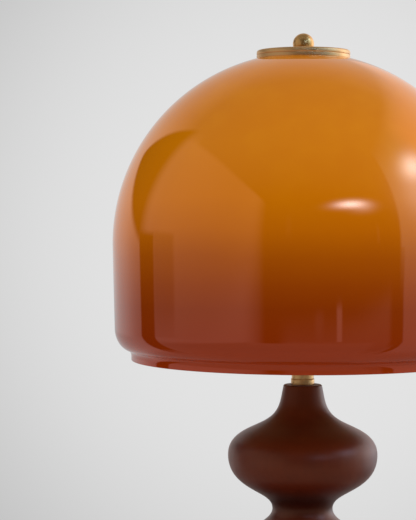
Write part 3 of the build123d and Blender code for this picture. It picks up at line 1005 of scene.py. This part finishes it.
@dataclass
class CapAndFinial:
    """The brass cap on the crown, and the ball that screws down on it."""

    groove_height: float = 0.0024
    groove_width: float = 0.0010
    groove_depth: float = 0.00045
    top_edge: float = 0.0027
    skirt_inside: float = 0.0004
    skirt_outside: float = 0.0011
    recess: float = 0.0414
    recess_depth: float = 0.002
    bore: float = 0.003275
    ball_seat_bore: float = 0.003225
    ball_bore_depth: float = 0.011
    pitch: float = 0.0254 / 27
    thread_depth: float = 0.0003
    thread_runs: int = 6

    def cap(self) -> None:
        """The cap: a flat disc with a grooved band, hollow below for its gasket."""
        low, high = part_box("top_cap")
        radius = high.x
        groove = low.z + self.groove_height
        half = self.groove_width / 2
        ceiling = low.z + self.recess_depth
        outline = softened(
            (self.recess, low.z - self.skirt_inside, HAIR_EDGE),
            (radius, low.z - self.skirt_outside, FINE_EDGE),
            (radius, groove - half, HAIR_EDGE),
            (radius - self.groove_depth, groove, HAIR_EDGE),
            (radius, groove + half, HAIR_EDGE),
            (radius, high.z, self.top_edge),
            (self.bore, high.z, HAIR_EDGE),
            (self.bore, ceiling, 0),
            (self.recess, ceiling, 0),
        )
        stand_in(lathe("brass_cap", outline, columns=192), "top_cap", BRASS)

    def ball(self) -> None:
        """The ball: part of a circle over a flat seat with a tapped bore."""
        low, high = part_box("finial_ball")
        radius, bore = high.x, self.ball_seat_bore
        centre = high.z - radius
        bore_top = low.z + self.ball_bore_depth
        start = -90 + math.degrees(math.acos((centre - low.z) / radius))
        sphere = arc((0, centre), (radius, radius), start, 90, steps=48)
        outline = joined(np.array([(0, bore_top), (bore, bore_top), (bore, low.z)]), sphere)
        stand_in(lathe("ball_finial", outline, closed=False), "finial_ball", POLISHED_BRASS)

    def washer(self) -> None:
        """The thin washer under the ball."""
        low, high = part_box("finial_washer")
        outline = softened(
            (self.ball_seat_bore, low.z, 0),
            (high.x, low.z, HAIR_EDGE),
            (high.x, high.z, HAIR_EDGE),
            (self.ball_seat_bore, high.z, 0),
        )
        stand_in(lathe("finial_seat", outline), "finial_washer", BRASS)

    def stud(self) -> None:
        """The threaded stud that the ball screws on to."""
        low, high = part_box("finial_stud")
        outline = softened(
            (0, low.z, 0),
            (high.x, low.z, SMALL_EDGE),
            (high.x, high.z, SOFT_EDGE),
            (0, high.z, 0),
            closed=False,
        )
        fine = divided(outline, self.pitch / self.thread_runs)
        sizes = {"pitch": self.pitch, "depth": self.thread_depth, "low": low.z, "high": high.z}
        relief = functools.partial(thread, **sizes)
        piece = lathe("finial_thread", fine, columns=40, closed=False, relief=relief)
        stand_in(piece, "finial_stud", TURNED_STEEL)

    def build(self) -> None:
        """Make the cap, the stud, the washer and the ball, and dress the gasket."""
        self.cap()
        self.stud()
        self.washer()
        self.ball()
        dress(GASKET, "cap_gasket")


@dataclass
class NeckAndRiser:
    """The brass stack on the lamp's axis: neck ring, stem, cluster, riser and the glass's plate."""

    pipe_bore: float = 0.0051
    spigot: float = 0.0092
    spigot_height: float = 0.003
    stem_wall: float = 0.0012
    edge: float = 0.0006
    foot_height: float = 0.004
    foot_taper: float = 0.006
    flare_ease: float = 0.0012
    taper_ease: float = 0.002
    shaft: float = 0.006
    shaft_bore: float = 0.003275
    plate_bore: float = 0.0061
    plate_edge: float = 0.001
    columns: int = 128

    def build(self) -> None:
        """Turn the neck, the stem, the riser and the plate, and dress the rest."""
        low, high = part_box("neck_ring")
        ring_top = high.z - self.spigot_height
        outline = softened(
            (self.pipe_bore, low.z, 0),
            (high.x, low.z, self.edge),
            (high.x, ring_top, self.edge),
            (self.spigot, ring_top, 0),
            (self.spigot, high.z, 0),
            (self.pipe_bore, high.z, 0),
        )
        stand_in(lathe("neck_collar", outline, columns=self.columns), "neck_ring", BRASS)

        low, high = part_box("stem_tube")
        bore = high.x - self.stem_wall
        outline = softened(
            (bore, low.z, 0),
            (high.x, low.z, self.edge),
            (high.x, high.z, FINE_EDGE),
            (bore, high.z, 0),
        )
        stand_in(lathe("brass_stem", outline, columns=self.columns), "stem_tube", BRASS)

        low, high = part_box("riser_rod")
        flare = low.z + self.foot_height
        outline = softened(
            (self.pipe_bore, low.z, 0),
            (high.x, low.z, SMALL_EDGE),
            (high.x, flare, self.flare_ease),
            (self.shaft, flare + self.foot_taper, self.taper_ease),
            (self.shaft, high.z, SMALL_EDGE),
            (self.shaft_bore, high.z, 0),
        )
        stand_in(lathe("riser", outline), "riser_rod", BRASS)

        low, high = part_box("shade_plate")
        outline = softened(
            (self.plate_bore, low.z, 0),
            (high.x, low.z, self.plate_edge),
            (high.x, high.z, self.plate_edge),
            (self.plate_bore, high.z, 0),
        )
        stand_in(lathe("glass_carrier", outline, columns=self.columns), "shade_plate", BRASS)

        dress(CAST_BRASS, "cluster_ball", "jam_nut")
        dress(STEEL, "lamp_pipe", "nipple_left", "nipple_right")
        dress(GASKET, "lower_gasket")


class Side(Enum):
    """The two sides of the cluster, as signs of X."""

    LEFT = -1
    RIGHT = 1


@dataclass
class LampSocket:
    """One angled socket with its bulb and turn switch, measured out along its own axis."""

    side: Side
    lean: float = math.radians(40)
    cluster_half_height: float = 0.0205
    cap_seat: float = 0.031
    cap_shoulder: float = 0.037
    cap_skirt: float = 0.047
    cap_mouth: float = 0.057
    cap_neck: float = 0.008
    cap_radius: float = 0.017
    cap_wall: float = 0.0009
    cap_bore: float = 0.0051
    base_start: float = 0.0709
    base_tip: float = 0.0046
    base_tip_end: float = 0.0724
    base_cone_end: float = 0.0759
    base_end: float = 0.0969
    base_radius: float = 0.013
    base_wall: float = 0.0008
    base_pitch: float = 0.00363
    base_thread_depth: float = 0.0009
    base_thread_runs: int = 8
    globe_radius: float = 0.030
    globe_belly: float = 0.1489
    globe_wall: float = 0.001
    globe_neck_pull: float = 0.024
    globe_belly_pull: float = 0.026
    knob_station: float = 0.0609
    knob_face: float = 0.0178
    knob_length: float = 0.012
    knob_radius: float = 0.0056
    knob_edge: float = 0.0008
    knob_shaft: float = 0.0018
    knob_shaft_start: float = 0.00505
    knob_run: float = 0.002
    flute_count: int = 12
    flute_radius: float = 0.0009
    flute_columns: int = 16

    def __post_init__(self) -> None:
        """Set the socket's axis from the riser's foot, which stands on the cluster."""
        self.name = self.side.name.lower()
        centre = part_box("riser_rod")[0].z - self.cluster_half_height
        along = (self.side.value * math.cos(self.lean), 0.0, math.sin(self.lean))
        self.axis = Spindle((0.0, 0.0, centre), along, (0.0, 1.0, 0.0))
        reach = self.knob_station
        start = (along[0] * reach, 0.0, centre + along[2] * reach)
        self.knob_axis = Spindle(start, (0.0, -1.0, 0.0))

    def node(self, part: str) -> str:
        """The name of this side's node."""
        return f"{part}_{self.name}"

    def cap(self) -> None:
        """The brass cap: a straight neck, a quarter ellipse and a skirt, hollow inside."""
        bore = self.cap_radius - self.cap_wall
        spread = self.cap_radius - self.cap_neck
        rise = self.cap_skirt - self.cap_shoulder
        outer = arc((self.cap_neck, self.cap_skirt), (spread, rise), -90, 0)
        inner_radii = (spread - self.cap_wall, rise - self.cap_wall)
        inner = arc((self.cap_neck, self.cap_skirt), inner_radii, 0, -90)
        mouth = softened(
            (self.cap_radius, self.cap_skirt, 0),
            (self.cap_radius, self.cap_mouth, FINE_EDGE),
            (bore, self.cap_mouth, FINE_EDGE),
            (bore, self.cap_skirt, 0),
            closed=False,
        )
        neck = softened(
            (self.cap_bore, self.cap_seat, 0),
            (self.cap_neck, self.cap_seat, SMALL_EDGE),
            (self.cap_neck, self.cap_shoulder, 0),
            closed=False,
        )
        floor = np.array([(self.cap_bore, self.cap_shoulder + self.cap_wall)])
        outline = joined(neck, outer, mouth, inner, floor)
        piece = lathe(f"holder_cap_{self.name}", outline, self.axis)
        stand_in(piece, self.node("socket_cap"), BRASS)

    def bulb_base(self) -> None:
        """The base of the bulb: a rolled screw thread on a thin cup."""
        bore = self.base_radius - self.base_wall
        low, high = self.base_cone_end, self.base_end
        outline = softened(
            (0, self.base_start, 0),
            (self.base_tip, self.base_start, SMALL_EDGE),
            (self.base_tip, self.base_tip_end, SMALL_EDGE),
            (self.base_radius, low, SOFT_EDGE),
            (self.base_radius, high, 0),
            (bore, high, 0),
            (bore, low, 0),
            (0, low, 0),
            closed=False,
        )
        pitch, depth = self.base_pitch, self.base_thread_depth
        fine = divided(outline, pitch / self.base_thread_runs)
        relief = functools.partial(thread, pitch=pitch, depth=depth, low=low, high=high)
        piece = lathe(f"bulb_screw_{self.name}", fine, self.axis, closed=False, relief=relief)
        stand_in(piece, self.node("bulb_base"), NICKEL)

    def globe_face(self, inset: float) -> np.ndarray:
        """One face of the globe: a Bezier neck into a quarter circle.

        Args:
            inset: How far the face lies inside the outer one.

        Returns:
            Points from the neck to the tip.
        """
        radius, neck = self.globe_radius - inset, self.base_radius - inset
        flare = bezier(
            (neck, self.base_end),
            (neck, self.base_end + self.globe_neck_pull),
            (radius, self.globe_belly - self.globe_belly_pull),
            (radius, self.globe_belly),
            steps=32,
        )
        tip = arc((0, self.globe_belly), (radius, radius), 0, 90, steps=32)
        return joined(flare, tip)

    def globe(self) -> None:
        """The frosted globe of the bulb, a thin skin."""
        outline = joined(self.globe_face(0), self.globe_face(self.globe_wall)[::-1])
        piece = lathe(f"frosted_globe_{self.name}", outline, self.axis, columns=80)
        stand_in(piece, self.node("bulb_globe"), BULB_GLASS)

    def flutes(self, outline: np.ndarray, turn: np.ndarray) -> np.ndarray:
        """Round flutes: the knob cut by circles that are centred on its edge. Only the outer rows
        are cut, so that the end face stays flat.

        Args:
            outline: (radius, height) rows.
            turn: Angles round the spindle.

        Returns:
            The change of radius, rows by turns.
        """
        step = FULL_TURN / self.flute_count
        off = np.mod(turn + step / 2, step) - step / 2
        chord = np.clip(self.flute_radius**2 - (self.knob_radius * np.sin(off)) ** 2, 0, None)
        cut = self.knob_radius * (np.cos(off) - 1) - np.sqrt(chord)
        outer = outline[:, :1] > self.knob_radius - self.knob_edge - TINY
        return np.where(outer & (chord > 0), cut, 0.0)

    def knob(self) -> None:
        """The turn switch: a fluted knob on its shaft, pointing to the front."""
        face, end = self.knob_face, self.knob_face + self.knob_length
        outline = softened(
            (0, self.knob_shaft_start, 0),
            (self.knob_shaft, self.knob_shaft_start, FINE_EDGE),
            (self.knob_shaft, face, 0),
            (self.knob_radius, face, SMALL_EDGE),
            (self.knob_radius, end, self.knob_edge),
            (0, end, 0),
            closed=False,
        )
        fine = divided(outline, self.knob_run)
        name, columns = f"turn_knob_{self.name}", self.flute_count * self.flute_columns
        piece = lathe(name, fine, self.knob_axis, columns, closed=False, relief=self.flutes)
        stand_in(piece, self.node("switch_knob"), PLASTIC)

    def build(self) -> None:
        """Make the cap, bulb and knob, and dress the pieces inside the socket."""
        self.cap()
        self.bulb_base()
        self.globe()
        self.knob()
        dress(CAST_BRASS, self.node("socket_shell"), self.node("centre_contact"))
        dress(FIBRE, self.node("socket_sleeve"))
        dress(PLASTIC, self.node("socket_body"))
        dress(PRESSED_NICKEL, self.node("screw_shell"))


@dataclass
class TurnedBase:
    """The wooden base, what is hidden in its foot, and the felt that it stands on."""

    felt_edge: float = 0.0008

    def build(self) -> None:
        """Cut the felt and dress the wood, the inlet's bush and the ballast stack."""
        low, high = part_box("felt_pad")
        outline = softened(
            (0, low.z, 0),
            (high.x, low.z, self.felt_edge),
            (high.x, high.z, self.felt_edge),
            (0, high.z, 0),
            closed=False,
        )
        piece = lathe("felt_disc", outline, columns=160, closed=False)
        stand_in(piece, "felt_pad", FELT)
        dress(StainedWood("stained_wood"), "wood_body")
        dress(RUBBER, "cord_bush")
        dress(IRON, "ballast")
        dress(STEEL, "base_washer", "base_nut")
        dress(PLASTIC, "pipe_bush")


# Studio


class Wall(Enum):
    """A wall of the studio: the axis that it faces and its sign, then the axes across and up."""

    LEFT = (0, -1.0, 1, 2)
    RIGHT = (0, 1.0, 1, 2)
    FRONT = (1, -1.0, 0, 2)
    BACK = (1, 1.0, 0, 2)
    CEILING = (2, 1.0, 0, 1)


@dataclass(frozen=True)
class Panel:
    """A soft panel of light on a wall, in shares of the wall's distance."""

    wall: Wall
    across: Point
    up: Point
    blur: Point
    level: float
    slant: Point = (0.0, 0.0)
    tint: Colour = WHITE

    def shape(self) -> dict[str, float]:
        """The panel's edges, blurs and slants, as its shader effect takes them."""
        values = (*self.across, *self.up, *self.blur, *self.slant)
        return dict(zip(PANEL_EDGES + PANEL_SOFTNESS, values))


@dataclass(frozen=True)
class Spot:
    """A soft glow in the studio, by the way it lies and its spread, in degrees."""

    azimuth: float
    elevation: float
    wide: float
    high: float
    level: float
    tint: Colour = WHITE

    def shape(self) -> dict[str, object]:
        """The ways ahead, across and up at its azimuth and elevation, and the sine of each spread.

        Returns:
            The inputs of its shader effect, by name.
        """
        turn, lift = math.radians(self.azimuth), math.radians(self.elevation)
        side, front = math.sin(turn), math.cos(turn)
        level, up = math.cos(lift), math.sin(lift)
        return {
            "Centre": (side * level, -front * level, up),
            "Across": (front, side, 0.0),
            "Up": (-side * up, front * up, level),
            "Wide": math.sin(math.radians(self.wide)),
            "High": math.sin(math.radians(self.high)),
        }


@dataclass
class Studio:
    """Floor, soft light and camera."""

    floor_start: float = 0.94
    floor_radius: float = 0.56
    floor_solid: float = 0.30
    floor_clear: float = 0.54
    floor_rows: int = 24
    floor_grain: float = 300.0
    floor_colour: Colour = (0.78, 0.775, 0.77)
    floor_shade: Colour = (0.74, 0.735, 0.73)
    floor_in_gloss: Colour = (0.36, 0.355, 0.35)
    ambient: Colour = (0.58, 0.58, 0.58)
    ambient_above: Colour = (0.80, 0.80, 0.80)
    above_levels: Point = (0.1, 0.9)
    ambient_below: Colour = (0.92, 0.92, 0.92)
    below_levels: Point = (0.0, -0.3)
    room_colour: Colour = (0.012, 0.012, 0.012)
    room_below: Colour = (0.25, 0.25, 0.25)
    room_levels: Point = (-0.2, -0.6)
    background: Colour = (0.777, 0.777, 0.777)
    background_far: Colour = (0.499, 0.499, 0.499)
    background_aim: Place = (0.0071, 0.9997, -0.0217)
    background_spread: float = 15.97
    key_place: Place = (1.2, -1.3, 1.5)
    key_size: float = 1.2
    key_watts: float = 12.0
    fill_place: Place = (-1.5, -0.5, 0.35)
    fill_size: float = 1.2
    fill_watts: float = 2.0
    aim: Place = (0.0, 0.0, 0.36)
    camera_place: Place = (0.0, -1.697, 0.3936)
    camera_pitch: float = -1.74
    camera_roll: float = -0.03
    camera_yaw: float = 3.04
    lens: float = 123.9
    sensor: float = 36.0
    # Wall, edges across and up, blurs, level, slants and tint
    panels: tuple[Panel, ...] = (
        Panel(Wall.CEILING, (-9.0, 9.0), (-1.0, 9.0), (1.2, 1.2), 0.205),
        Panel(Wall.BACK, (-9.0, 9.0), (-9.0, 0.75), (0.35, 1.75), 0.76),
        Panel(Wall.FRONT, (-0.20, 1.30), (-9.0, -0.115), (0.10, 0.03), 0.20),
        Panel(Wall.FRONT, (-0.90, 0.90), (-9.0, -0.22), (0.10, 0.05), 0.28),
        Panel(Wall.LEFT, (0.12, 9.0), (-9.0, 0.70), (0.02, 0.50), 0.70),
        Panel(Wall.LEFT, (-2.10, 0.44), (-0.72, 0.945), (0.45, 0.06), 0.32, (0.0, -0.08)),
        Panel(Wall.LEFT, (-0.5, 0.44), (-0.72, 0.945), (0.60, 0.06), 0.435, (0.0, -0.08)),
        Panel(Wall.LEFT, (-1.6, 0.12), (-0.72, -0.10), (0.30, 0.05), 0.52),
        Panel(Wall.LEFT, (-1.75, 9.0), (-9.0, -0.32), (0.15, 0.10), 0.30),
        Panel(Wall.LEFT, (0.45, 9.0), (-9.0, -0.20), (0.06, 0.10), 0.55),
        Panel(Wall.LEFT, (-0.14, 0.16), (-0.09, 0.075), (0.03, 0.03), 0.22),
        Panel(Wall.LEFT, (0.16, 0.43), (-1.2, 0.065), (0.02, 0.03), 0.01),
        Panel(Wall.LEFT, (0.36, 1.42), (-0.22, 1.24), (0.12, 0.05), 0.01, (0.52, -0.48)),
        Panel(Wall.RIGHT, (-0.61, 9), (-9, 1.25), (0.03, 0.4), 0.66, (0, 0.3), (0.5, 0.8, 1.0)),
        Panel(Wall.RIGHT, (0.05, 9), (-9, 1.25), (0.25, 0.4), 0.74, (0, 0.3), (1.15, 1.0, 0.95)),
        Panel(Wall.RIGHT, (-0.66, -0.55), (-9.0, -0.05), (0.02, 0.04), 0.012),
        Panel(Wall.RIGHT, (-0.55, 9.0), (-9.0, -0.06), (0.03, 0.03), 0.46),
        Panel(Wall.FRONT, (0.36, 0.42), (-0.14, -0.090), (0.015, 0.006), 0.55),
        Panel(Wall.FRONT, (0.13, 0.21), (-0.17, -0.098), (0.03, 0.012), 0.17),
        Panel(Wall.FRONT, (-0.17, -0.12), (0.10, 0.30), (0.02, 0.06), 0.05),
        Panel(Wall.FRONT, (0.94, 1.00), (0.03, 0.26), (0.02, 0.06), 0.08),
    )
    # Azimuth, elevation, the two spreads, level and tint
    spots: tuple[Spot, ...] = (
        Spot(29.2, 23.0, 8.0, 2.0, 14.5, COOL),
        Spot(36.5, 20.5, 6.5, 2.4, 2.3, COOL),
        Spot(84.0, 35.0, 8.5, 5.5, 8.5, COOL),
        Spot(78.0, 24.0, 12.0, 11.0, 2.2, COOL),
        Spot(126.0, 6.0, 24.0, 20.0, 1.6, (0.72, 0.92, 1.12)),
    )

    def floor(self) -> None:
        """A pale ring: a grid of radius by turn, from under the felt to where it has faded out.

        It is clear from below, so that the foot can be looked at.
        """
        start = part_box("felt_pad")[1].x * self.floor_start
        radius = np.linspace(self.floor_radius, start, self.floor_rows)
        disc = lathe("floor", np.stack([radius, np.zeros_like(radius)], axis=1), closed=False)
        material = bpy.data.materials.new("pale_floor")
        graph = cleared(material)
        point = graph.object_point()
        reach = graph.add("ShaderNodeVectorMath", {0: point}, operation="LENGTH").outputs["Value"]
        _, tone = graph.grain(point, self.floor_grain)
        colour = graph.blend(tone, self.floor_colour, self.floor_shade)
        gloss = graph.add("ShaderNodeLightPath").outputs["Is Glossy Ray"]
        colour = graph.blend(gloss, colour, self.floor_in_gloss)
        solid = graph.add("ShaderNodeBsdfDiffuse", {"Color": colour}).outputs[0]
        clear = graph.add("ShaderNodeBsdfTransparent").outputs[0]
        fade = graph.ramp(reach, self.floor_solid, self.floor_clear)
        behind = graph.add("ShaderNodeNewGeometry").outputs["Backfacing"]
        shaders = {0: graph.math("MAXIMUM", fade, behind), 1: solid, 2: clear}
        surface = graph.add("ShaderNodeMixShader", shaders).outputs[0]
        graph.add("ShaderNodeOutputMaterial", {"Surface": surface})
        disc.data.materials.append(material)

    def sky(self) -> None:
        """Pale background for the camera, panels of light for gloss, even light for the rest."""
        world = bpy.data.worlds.new("studio")
        bpy.context.scene.world = world
        graph = cleared(world)
        world.cycles.sampling_method = "NONE"
        way = graph.add("ShaderNodeTexCoord").outputs["Generated"]
        parts = graph.parts(way)
        low = graph.ramp(parts[2], *self.room_levels)
        light = graph.blend(low, self.room_colour, self.room_below)
        for panel in self.panels:
            toward, sign, across, up = panel.wall.value
            place = (graph.math("MULTIPLY", parts[toward], sign), parts[across], parts[up])
            inputs = dict(zip(PANEL_PLACE, place)) | panel.shape()
            mask = graph.effect(Effect.PANEL, inputs).outputs["Mask"]
            light = graph.blend(mask, light, scaled(panel.tint, panel.level))
        for spot in self.spots:
            mask = graph.effect(Effect.SPOT, {"Way": way} | spot.shape()).outputs["Mask"]
            glow = {0: mask, 1: scaled(spot.tint, spot.level), 2: light}
            light = graph.add("ShaderNodeVectorMath", glow, operation="MULTIPLY_ADD").outputs[0]
        facing = graph.dot(way, self.background_aim)
        near = graph.ramp(facing, math.cos(math.radians(self.background_spread)), 1.0)
        shown = graph.blend(near, self.background_far, self.background)
        path = graph.add("ShaderNodeLightPath").outputs
        gloss = graph.math("MAXIMUM", path["Is Glossy Ray"], path["Is Transmission Ray"])
        above = graph.ramp(parts[2], *self.above_levels)
        soft = graph.blend(above, self.ambient, self.ambient_above)
        below = graph.ramp(parts[2], *self.below_levels)
        soft = graph.blend(below, soft, self.ambient_below)
        room = graph.blend(gloss, soft, light)
        colour = graph.blend(path["Is Camera Ray"], room, shown)
        lit = graph.add("ShaderNodeBackground", {"Color": colour}).outputs[0]
        graph.add("ShaderNodeOutputWorld", {"Surface": lit})

    def lamp(self, name: str, place: Place, size: float, watts: float) -> None:
        """A square soft light aimed at the dome, which shows in no reflection.

        Args:
            name: Name of the light.
            place: Where it stands.
            size: Length of its side.
            watts: Its power.
        """
        light = bpy.data.lights.new(name, "AREA")
        light.size = size
        light.energy = watts
        holder = bpy.data.objects.new(name, light)
        holder.location = place
        way = Vector(self.aim) - Vector(place)
        holder.rotation_euler = way.to_track_quat("-Z", "Y").to_euler()
        holder.visible_glossy = False
        holder.visible_camera = False
        bpy.context.scene.collection.objects.link(holder)

    def camera(self) -> None:
        """The camera, in front of the lamp at the height of the dome and turned a little left.

        A pitch of 0 looks level.
        """
        lens = bpy.data.cameras.new("camera")
        lens.lens = self.lens
        lens.sensor_width = self.sensor
        holder = bpy.data.objects.new("camera", lens)
        holder.location = self.camera_place
        turn = (90 + self.camera_pitch, self.camera_roll, self.camera_yaw)
        holder.rotation_euler = Euler([math.radians(angle) for angle in turn], "XYZ")
        bpy.context.scene.collection.objects.link(holder)
        bpy.context.scene.camera = holder

    def build(self) -> None:
        """Set up the floor, the light and the camera."""
        self.floor()
        self.sky()
        self.lamp("key", self.key_place, self.key_size, self.key_watts)
        self.lamp("fill", self.fill_place, self.fill_size, self.fill_watts)
        self.camera()
        bpy.context.scene.view_settings.view_transform = "Standard"


def main() -> None:
    """Build the sub-assemblies in order, from the table up."""
    logging.basicConfig(level=logging.INFO, format="%(message)s")
    make_effects()
    TurnedBase().build()
    NeckAndRiser().build()
    for side in Side:
        LampSocket(side).build()
    GlassDome().build()
    CapAndFinial().build()
    Studio().build()


if __name__ == "__main__":
    main()
